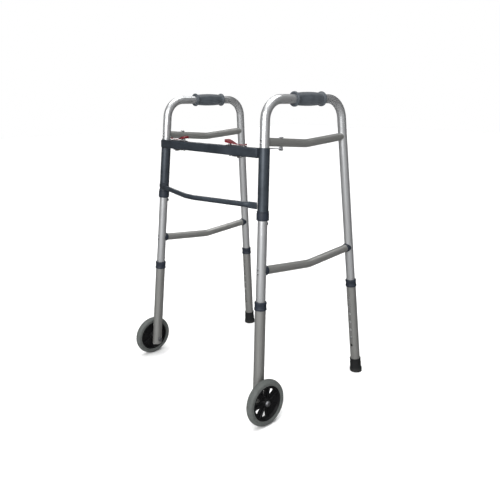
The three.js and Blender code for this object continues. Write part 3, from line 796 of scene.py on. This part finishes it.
def rubber_tip(name):
    """Rubber tip: a ribbed neck over a flared foot with a level base."""
    leg = leg_matrix("rear", name)
    up = leg.col[2].to_3d()
    foot = leg.translation - up * (leg.translation.z / up.z)
    matrix = basis(foot, up, BACK)
    radius, neck, height = TIP["radius"], TIP["neck"], TIP["height"]
    corners = [(0, -0.004), (radius - 0.0004, -0.004), (radius - 0.0004, 0.0045), (radius, 0.0062)]
    corners += [(radius - 0.0003, 0.0095), (neck + 0.0008, 0.0135)]
    for rib in range(4):
        start = 0.0165 + rib * 0.0034
        corners += [(neck + 0.0005, start), (neck + 0.0005, start + 0.0016), (neck, start + 0.0022)]
    corners += [(neck, height - 0.0034), (neck + 0.0004, height - 0.003), (neck + 0.0004, height - 0.0004)]
    corners += [(LEG_RADIUS + GAP, height), (LEG_RADIUS + GAP, 0.0197), (0, 0.0197)]
    piece = turned(matrix, corners, 0.0005)
    floor = cutter(Matrix(), square_round(foot, 0.03), -DEEP, 0.0)
    carve(piece, floor)
    fit(piece, f"rubber_tip_{name}", [foot, foot + up * height], sharp=40)


def square_round(middle, half):
    """Corners of a level square about a point."""
    return [(middle.x + x * half, middle.y + y * half) for x, y in SQUARE]


# ---- wheels ----

AXLE = {"shank": 0.004, "head": 0.008, "nut": 0.0072, "socket": 0.0026, "reach": 0.06}
WHEEL = {"radius": 0.0595, "width": 0.022, "tyre_inner": 0.0455, "crown": 0.0042, "groove": 0.0005}


def wheel_matrix(name, sign):
    """A wheel's own frame: Z out along its axle, away from the leg."""
    return basis(joint_point(f"wheel_{name}"), joint_axis(f"wheel_{name}") * sign, UP)


def tyre(name, sign):
    """Solid tyre with a rounded tread, two shallow grooves and a bead against the hub."""
    matrix = wheel_matrix(name, sign)
    radius, half, inner = WHEEL["radius"], WHEEL["width"] / 2, WHEEL["tyre_inner"]
    tread = []
    for i in range(CURVE_STEPS + 1):
        share = 2 * i / CURVE_STEPS - 1
        crown = (abs(share) ** 2.6) * WHEEL["crown"]
        groove = WHEEL["groove"] if abs(abs(share) - 0.5) < 0.045 else 0.0
        tread.append((radius - crown - groove, share * (half - 0.0008)))
    corners = [(inner, -half + 0.002), (inner + 0.0025, -half + 0.0006), (inner + 0.004, -half + 0.0014)]
    corners += [(radius - 0.0075, -half), *tread, (radius - 0.0075, half)]
    corners += [(inner + 0.004, half - 0.0014), (inner + 0.0025, half - 0.0006), (inner, half - 0.002)]
    profile = rounded(corners, 0.0005, 2, closed=True)
    piece = lathe(matrix, profile, closed=True, around=128)
    fit(piece, f"tyre_{name}", line_along(matrix, -half, half), sharp=45)


HUB = {"half": 0.009, "web": 0.003, "boss": 0.013, "rim": 0.045, "windows": 7, "bore": 0.0043}


def wheel_hub(name, sign):
    """Moulded hub: rim, boss, and a thin web with a triangular window between each pair of ribs."""
    matrix = wheel_matrix(name, sign)
    half, web, boss, rim, bore = (HUB[key] for key in ("half", "web", "boss", "rim", "bore"))
    corners = [
        (bore, -half), (boss - 0.001, -half), (boss, -web), (rim - 0.0048, -web), (rim - 0.0034, -half),
        (rim, -half), (rim, half), (rim - 0.0034, half), (rim - 0.0048, web), (boss, web),
        (boss - 0.001, half), (bore, half),
    ]
    piece = turned(matrix, corners, 0.0007, closed=True, around=96)
    for i in range(HUB["windows"]):
        turn = matrix @ Matrix.Rotation(2 * math.pi * i / HUB["windows"], 4, "Z")
        carve(piece, hub_window(turn))
        half_step = turn @ Matrix.Rotation(math.pi / HUB["windows"], 4, "Z")
        carve(piece, hub_rib(half_step), operation="UNION")
    fit(piece, f"wheel_hub_{name}", line_along(matrix, -half, half), sharp=35)


def hub_window(matrix):
    """Cutter for one window, with its point towards the boss."""
    inner, outer, wide = HUB["boss"] + 0.0045, HUB["rim"] - 0.0080, 0.0085
    corners = [(inner, -0.0012), (outer, -wide), (outer, wide), (inner, 0.0012)]
    outline = rounded(corners, 0.002, 4, closed=True)
    return cutter(matrix, outline, -DEEP, DEEP)


def hub_rib(matrix):
    """Stiffening rib from the boss to the rim, on both faces of the web."""
    inner, outer, wide = HUB["boss"] - 0.002, HUB["rim"] - 0.003, 0.0011
    corners = [(inner, -wide), (outer, -wide), (outer, wide), (inner, wide)]
    height = HUB["web"] + 0.0035
    return plate(matrix, corners, -height, height, 0.0005)


def axle_bolt(name, sign):
    """Shouldered bolt through the wheel, with a washer under a domed head with a hex socket."""
    matrix = wheel_matrix(name, sign)
    face = WHEEL["width"] / 2 - 0.002 + GAP
    shank, head = AXLE["shank"], AXLE["head"]
    inner = -0.0475
    corners = [(0, inner), (shank, inner), (shank, face), (head, face), (head, face + 0.0014)]
    corners += [(head * 0.86, face + 0.0015), (head * 0.8, face + 0.0038), (head * 0.5, face + 0.005)]
    corners.append((0, face + 0.005))
    piece = turned(matrix, corners, 0.0006, around=40, steps=4)
    carve(piece, hexagon(matrix, AXLE["socket"], face + 0.0025, face + 0.01))
    fit(piece, f"axle_bolt_{name}", line_along(matrix, inner, face))


def hexagon(matrix, radius, low, high, bevel=TOOL_EDGE):
    """Six-sided solid along a matrix's Z."""
    corners = [(radius * math.cos(i * math.pi / 3), radius * math.sin(i * math.pi / 3)) for i in range(6)]
    return plate(matrix, corners, low, high, bevel)


def axle_nut(name, sign):
    """Nut on the inner side of the leg."""
    node = f"axle_nut_{name}"
    low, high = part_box(node)
    matrix = basis((low + high) / 2, wheel_matrix(name, sign).col[2].to_3d(), UP)
    half = 0.0033
    nut = hexagon(matrix, AXLE["nut"], -half, half, 0.0006)
    carve(nut, bar(*line_along(matrix, -0.01, 0.01), AXLE["shank"] + GAP))
    fit(nut, node, line_along(matrix, -half, half))


# ---- front frame ----


def hinge_sleeve(name):
    """Painted sleeve that the side frame's front leg turns in."""
    node = f"hinge_sleeve_{name}"
    low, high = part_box(node)
    path = [on_leg("front", name, low.z + BOX_INSET), on_leg("front", name, high.z - BOX_INSET)]
    fit(pipe(path, SLEEVE_RADIUS, SLEEVE_RADIUS - BORE_RADIUS), node, path)


def sleeve_collar(name):
    """Plastic bush at the foot of a sleeve."""
    node = f"sleeve_collar_{name}"
    low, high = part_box(node)
    up = leg_matrix("front", name).col[2].to_3d()
    matrix = basis(on_leg("front", name, low.z + BOX_INSET), up, BACK)
    length = high.z - low.z - 2 * BOX_INSET
    radius = COLLAR["radius"]
    corners = [
        (BORE_RADIUS, 0), (radius - 0.0016, 0), (radius, 0.002), (radius, length - 0.0055),
        (radius - 0.0008, length - 0.005), (radius - 0.0008, length - 0.0035), (radius, length - 0.003),
        (radius - 0.0004, length), (BORE_RADIUS, length),
    ]
    fit(turned(matrix, corners, 0.0006, closed=True), node, line_along(matrix, 0, length))


BAR = {"corner": 0.004, "wall": 0.0016, "slot": 0.0037, "cope": (0.6, 0.8)}


def crossbar():
    """Rounded rectangular tube between the sleeves, with the slots of the two locks."""
    node = "front_crossbar"
    low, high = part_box(node)
    y = joint_point("lock_slide_right").y
    height = high.z - low.z
    depth = 2 * (y - low.y)
    length = high.x - low.x
    matrix = Matrix.Translation((low.x, y, (low.z + high.z) / 2)) @ Matrix.Rotation(math.pi / 2, 4, "Y")
    outer = rectangle(height, depth, BAR["corner"])
    inner = rectangle(height - 2 * BAR["wall"], depth - 2 * BAR["wall"], BAR["corner"] - BAR["wall"])
    piece = plate(matrix, outer, 0, length, 0.0012, segments=3)
    carve(piece, cutter(matrix, inner, BAR["wall"], length - BAR["wall"]))
    for name, sign in SIDES:
        carve(piece, slot_tool(sign, y, low.z, high.z))
        carve(piece, link_slot(sign, y + depth / 2))
        start, stop = (on_leg("front", name, height) for height in BAR["cope"])
        carve(piece, bar(start, stop, SLEEVE_RADIUS + GAP))
    soften(piece, 0.0004, 40)
    fit(piece, node, [Vector((low.x, y, high.z)), Vector((high.x, y, high.z))])


def rectangle(width, height, corner):
    """Outline with rounded corners, about the origin."""
    corners = [(x * width / 2, y * height / 2) for x, y in SQUARE]
    return rounded(corners, corner, 8, closed=True)


def link_slot(sign, back):
    """Cutter for the slot in the rear wall that a link enters by."""
    inner, outer, bottom, top = LINK["slot"]
    matrix = Matrix.Translation((0, back, 0)) @ Matrix.Rotation(math.pi / 2, 4, "X")
    corners = ((inner, bottom), (outer, bottom), (outer, top), (inner, top))
    soft = rounded([(sign * x, z) for x, z in corners], 0.0035, 6, closed=True)
    return cutter(matrix, soft, -0.003, 0.003)


def slot_tool(sign, y, low, high):
    """Cutter for the slot that a lock's stud slides in."""
    start, stop = (joint_point("lock_slide_right").x + offset for offset in (0.006, -0.14))
    middle = sign * (start + stop) / 2
    outline = [(middle + x * (start - stop) / 2, y + d * BAR["slot"]) for x, d in SQUARE]
    soft = rounded(outline, BAR["slot"] * 0.98, 6, closed=True)
    return cutter(Matrix(), soft, low - 0.01, high + 0.01)


LOWER_BAR = {
    "radius": 0.007, "wall": 0.0015, "straight": 0.020, "bend": 0.04, "tab": 0.4, "tall": 1.3,
    "tab_length": 0.02, "inset": 0.0005, "step": 0.003,
}


def lower_bar():
    """Round tube bent forward at its middle, with flattened ends welded to the front of the sleeves."""
    node = "lower_front_bar"
    low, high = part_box(node)
    z = (low.z + high.z) / 2
    radius, tab, length = LOWER_BAR["radius"], LOWER_BAR["tab"], LOWER_BAR["tab_length"]
    end_x = high.x - LOWER_BAR["inset"]
    end_y = high.y - radius * tab
    front = low.y + radius
    half = [(LOWER_BAR["straight"], front), (end_x, end_y)]
    corners = [(-x, y, z) for x, y in reversed(half)] + [(x, y, z) for x, y in half]
    path = fine_steps(rounded(corners, LOWER_BAR["bend"], 10), LOWER_BAR["step"])
    piece = pipe(path, radius, LOWER_BAR["wall"])
    for vertex in piece.data.vertices:
        inset = end_x - abs(vertex.co.x)
        share = 1 - smooth_step(inset, length, 2 * length)
        middle = end_y - (end_y - front) * inset / (end_x - LOWER_BAR["straight"])
        vertex.co.y = middle + (vertex.co.y - middle) * (1 + (tab - 1) * share)
        vertex.co.z = z + (vertex.co.z - z) * (1 + (LOWER_BAR["tall"] - 1) * share)
    fit(piece, node, path)


def smooth_step(value, low, high):
    """0 below low and 1 above high, with a soft start and stop between."""
    share = min(max((value - low) / (high - low), 0), 1)
    return share * share * (3 - 2 * share)


def fine_steps(path, step):
    """The same path with long straight runs divided."""
    points = [path[0]]
    for start, stop in zip(path, path[1:]):
        count = max(1, round((stop - start).length / step))
        points += [start.lerp(stop, i / count) for i in range(1, count + 1)]
    return points


# ---- fold lock ----

BOLT = {
    "shank": 0.003, "head": 0.0062, "thick": 0.003, "washer": 0.0017, "nut": 0.0062, "slack": 0.0008,
    "spacer": 0.0055, "reach": 0.05,
}
# A link's slot in the crossbar: from X, to X, bottom and top.
LINK = {"half_width": 0.0055, "thick": 0.0022, "hole": 0.0034, "slot": (0.060, 0.174, 0.7008, 0.71)}


def bolt_axis(name):
    """The way up a brace's bolt."""
    axis = joint_axis(f"lock_link_{name}")
    return axis if axis.z > 0 else -axis


def brace_bolt(name):
    """Bolt down through the upper brace, with a domed head on top and a spacer and nut below."""
    node = f"brace_bolt_{name}"
    low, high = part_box(node)
    axis = bolt_axis(name)
    pivot = joint_point(f"lock_link_{name}")
    start = pivot + axis * ((low.z + 0.0003 - pivot.z) / axis.z)
    matrix = basis(start, axis, BACK)
    length = (high.z - 0.0003 - start.z) / axis.z
    shank, head, spacer = (BOLT[key] for key in ("shank", "head", "spacer"))
    above = (pivot - start).length + LINK["thick"] / 2 + BOLT["slack"]
    below = (pivot - start).length - LINK["thick"] / 2 - BOLT["slack"]
    under = length - BOLT["thick"]
    corners = [
        (0, 0), (shank, 0), (shank, above), (spacer, above), (spacer, above + BOLT["washer"]),
        (shank, above + BOLT["washer"]), (shank, under), (head + 0.0003, under),
        (head + 0.0003, under + 0.0008), (head, under + 0.0012), (head * 0.7, length - 0.0003), (0, length),
    ]
    bolt = turned(matrix, corners, 0.0004, around=32)
    nut = hexagon(matrix, BOLT["nut"], 0.0006, below, 0.0006)
    fit(merge([bolt, nut]), node, [start, start + axis * length])


def lock_link(name):
    """Flat steel link from the brace's bolt to the stud inside the crossbar."""
    pivot, stud = joint_point(f"lock_link_{name}"), joint_point(f"lock_slide_{name}")
    flat = Vector((stud.x - pivot.x, stud.y - pivot.y, 0))
    length = flat.length
    matrix = basis(pivot, UP, UP.cross(flat))
    half, thick = LINK["half_width"], LINK["thick"]
    tip = length + half
    corners = ((-half, -half), (tip, -half), (tip, half), (-half, half))
    outline = rounded(corners, half * 0.99, 12, closed=True)
    piece = plate(matrix, outline, -thick / 2, thick / 2, 0.0003)
    for x in (0, length):
        carve(piece, bar(matrix @ Vector((x, 0, -0.01)), matrix @ Vector((x, 0, 0.01)), LINK["hole"]))
    fit(piece, f"lock_link_{name}", [pivot, matrix @ Vector((length, 0, 0))])


SLIDER = {
    "inner": 0.098, "outer": 0.176, "plate_inner": 0.121, "plate_outer": 0.164, "width": 0.013,
    "thick": 0.002, "stud": 0.003, "post": 0.003, "tie": 0.0026, "tie_place": 0.128,
    "corner": 0.0045, "nut": 0.006, "over_link": 0.0012,
}


def lock_slider(name, sign):
    """Strip on the crossbar and plate under it, tied through the bar, with a stud over the link's eye."""
    node = f"lock_slider_{name}"
    low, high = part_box(node)
    stud = joint_point(f"lock_slide_{name}")
    post = joint_point(f"release_{name}")
    bar_low, bar_high = (corner.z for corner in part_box("front_crossbar"))
    base, foot, thick = bar_high + GAP, bar_low - GAP, SLIDER["thick"]
    strip = slider_strip(sign, SLIDER["inner"], SLIDER["outer"], stud.y, base)
    start, stop = (Vector((post.x, post.y, base + offset)) for offset in (-0.005, 0.01))
    carve(strip, bar(start, stop, SLIDER["post"]))
    under = slider_strip(sign, SLIDER["plate_inner"], SLIDER["plate_outer"], stud.y, foot - thick)
    tie_x = sign * SLIDER["tie_place"]
    tie = upright_rod(tie_x, stud.y, foot - thick / 2, base + thick / 2, SLIDER["tie"])
    link_top = joint_point(f"lock_link_{name}").z + LINK["thick"] / 2
    shank = upright_rod(stud.x, stud.y, link_top + SLIDER["over_link"], high.z, SLIDER["stud"])
    under_nut = Matrix.Translation((stud.x, stud.y, low.z))
    nut = hexagon(under_nut, SLIDER["nut"], 0, foot - thick / 2 - low.z, 0.0006)
    fit(merge([strip, under, tie, shank, nut]), node, [stud, post])


def slider_strip(sign, inner, outer, y, base):
    """Flat strip along the crossbar."""
    outline = rectangle(outer - inner, SLIDER["width"], SLIDER["corner"])
    place = Matrix.Translation((sign * (inner + outer) / 2, y, 0))
    return plate(place, outline, base, base + SLIDER["thick"], 0.0005)


def upright_rod(x, y, bottom, top, radius):
    """Plain upright rod with soft edges."""
    corners = [(0, 0), (radius, 0), (radius, top - bottom), (0, top - bottom)]
    return turned(Matrix.Translation((x, y, bottom)), corners, 0.0006, around=32)


LEVER = {
    "inner": 0.094, "heel": 0.140, "tail": 0.180, "half": 0.0095, "tail_half": 0.003,
    "top": 0.729, "tail_top": 0.7175, "tail_thick": 0.0014, "thick": 0.008, "hole": 0.0032,
}


def release_lever(name, sign):
    """Finger lever: a teardrop paddle that runs out into a thin upturned tail."""
    pivot = joint_point(f"release_{name}")
    matrix = Matrix.Translation((0, pivot.y, 0)) @ Matrix.Rotation(0 if sign > 0 else math.pi, 4, "Z")
    inner, heel, tail = LEVER["inner"], LEVER["heel"], LEVER["tail"]
    top, tail_top = LEVER["top"], LEVER["tail_top"]
    under = [(tail - 0.0005, tail_top - LEVER["tail_thick"]), (heel, tail_top - LEVER["tail_thick"])]
    side = [(inner, top - 0.002), (inner + 0.002, top), (heel, tail_top), (tail - 0.0025, tail_top)]
    side += [(tail - 0.002, tail_top + 0.003), (tail - 0.0002, tail_top + 0.003), *under]
    side.append((inner + 0.003, top - LEVER["thick"]))
    profile = rounded(side, 0.0006, 3, closed=True)
    edge_on = matrix @ Matrix.Rotation(math.pi / 2, 4, "X")
    piece = plate(edge_on, profile, -DEEP, DEEP, TOOL_EDGE)
    half, thin = LEVER["half"], LEVER["tail_half"]
    ring = [(tail, thin), (heel, thin), (heel - 0.01, thin + 0.002), (inner + 0.016, half), (inner, half)]
    plan = ring + [(x, -y) for x, y in reversed(ring)]
    soft = rounded(plan, half * 0.96, 6, closed=True)
    carve(piece, cutter(matrix, soft, top - 0.04, top + 0.01), operation="INTERSECT")
    base = Vector((pivot.x, pivot.y, top - 0.03))
    carve(piece, bar(base, Vector((pivot.x, pivot.y, pivot.z + 0.0006)), LEVER["hole"]))
    soften(piece, 0.0007, 45, segments=3)
    fit(piece, f"release_lever_{name}", [pivot, matrix @ Vector((tail, 0, tail_top))])


POST = {"radius": 0.0024, "shoulder": 0.004, "rise": 0.0026, "end": 0.003}


def release_post(name):
    """Post that the lever rocks on, with its shoulder on the slider and its end under the crossbar."""
    node = f"release_post_{name}"
    low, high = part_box(node)
    middle = centre(node)
    radius, wide = POST["radius"], POST["shoulder"]
    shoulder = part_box("front_crossbar")[1].z + POST["rise"] - low.z
    length = high.z - low.z
    matrix = Matrix.Translation((middle.x, middle.y, low.z))
    end = length - POST["end"]
    corners = [(0, 0), (radius, 0), (radius, shoulder), (wide, shoulder), (wide, end)]
    corners += [(radius, end), (radius, length), (0, length)]
    fit(turned(matrix, corners, 0.0004, around=32), node, line_along(matrix, 0, length))


# ---- scene ----


def build():
    """Makes every piece."""
    crossbar()
    lower_bar()
    for name, sign in SIDES:
        hinge_sleeve(name)
        sleeve_collar(name)
        brace_bolt(name)
        lock_link(name)
        lock_slider(name, sign)
        release_post(name)
        release_lever(name, sign)
        hoop(name)
        hand_grip(name)
        upper_brace(name)
        lower_brace(name)
        stop_pin(name)
        for end in ENDS:
            brace_saddle(end, name)
            rivets(UPPER_BRACE, "upper", end, name)
            rivets(LOWER_BRACE, "lower", end, name)
            lower_leg(end, name)
            leg_collar(end, name)
            snap_button(end, name)
        rubber_tip(name)
        tyre(name, sign)
        wheel_hub(name, sign)
        axle_bolt(name, sign)
        axle_nut(name, sign)


CAMERA = {
    "place": (1.2675, -1.0579, 0.8306), "heading": 48.49, "down": 7.83, "roll": -0.375,
    "lens": 39.45, "shift": (-0.0247, -0.148),
}


def add_camera():
    """The photo's view."""
    heading, down = math.radians(CAMERA["heading"]), math.radians(CAMERA["down"])
    back = Vector((math.sin(heading) * math.cos(down), -math.cos(heading) * math.cos(down), math.sin(down)))
    data = bpy.data.cameras.new("camera")
    data.lens = CAMERA["lens"]
    data.shift_x, data.shift_y = CAMERA["shift"]
    data.clip_end = 50
    turn = Matrix.Rotation(math.radians(CAMERA["roll"]), 4, "Z")
    place = basis(Vector(CAMERA["place"]), back, UP) @ turn
    bpy.context.scene.camera = add_object("camera", data, place)


def add_light(name, place, target, size, watts):
    """White panel at a place, turned towards a target."""
    data = bpy.data.lights.new(name, "AREA")
    data.shape = "RECTANGLE"
    data.size, data.size_y = size
    data.energy = watts
    add_object(name, data, basis(Vector(place), Vector(place) - Vector(target), UP))


FLOOR_HALF = 12
LIT_SIDE = (0.55, -0.75, 0.36)  # the way the brighter half of the studio lies


def add_studio():
    """Pale floor, soft key in front, weak rim light behind, overcast top light and darker back."""
    corners = [(x * FLOOR_HALF, y * FLOOR_HALF) for x, y in SQUARE]
    floor = plate(Matrix(), corners, -0.02, -0.0005, 0.001)
    floor.name = "floor"
    pale = Finish("floor", Roughness=0.9)
    pale.set("Base Color", pale.mix(pale.noise(3), (0.93, 0.93, 0.93), (0.95, 0.95, 0.95)))
    floor.data.materials.append(pale.material)
    floor.visible_glossy = False
    add_light("key", (1.15, -2.3, 1.5), target=(0, 0, 0.75), size=(1.9, 1.5), watts=64)
    add_light("rim", (-2.2, 1.2, 1.6), target=(0, 0, 0.5), size=(0.8, 1.6), watts=8)
    add_sky_light()
    add_surroundings()
    bpy.context.scene.view_settings.view_transform = "Standard"


def add_sky_light():
    """Overcast light from straight above."""
    data = bpy.data.lights.new("sky", "SUN")
    data.energy = 3.2
    data.angle = math.radians(70)
    add_object("sky", data)


def add_surroundings():
    """World light that grows towards the lit side. The camera itself sees plain white."""
    scene = bpy.context.scene
    scene.world = bpy.data.worlds.new("studio")
    scene.world.use_nodes = True
    tree = scene.world.node_tree
    way = add_node(tree, "ShaderNodeTexCoord").outputs["Generated"]
    lit = add_node(tree, "ShaderNodeVectorMath", {0: way, 1: LIT_SIDE}, operation="DOT_PRODUCT")
    span = {"From Min": -0.2, "From Max": 1.0, "To Min": 0.08, "To Max": 0.5}
    level = add_node(tree, "ShaderNodeMapRange", {"Value": lit.outputs["Value"], **span})
    shade = tree.nodes["Background"]
    tree.links.new(level.outputs[0], shade.inputs["Color"])
    seen = add_node(tree, "ShaderNodeBackground", {"Color": (1, 1, 1, 1)})
    direct = add_node(tree, "ShaderNodeLightPath").outputs["Is Camera Ray"]
    choose = add_node(tree, "ShaderNodeMixShader", {0: direct, 1: shade.outputs[0], 2: seen.outputs[0]})
    tree.links.new(choose.outputs[0], tree.nodes["World Output"].inputs[0])


build()
add_camera()
add_studio()
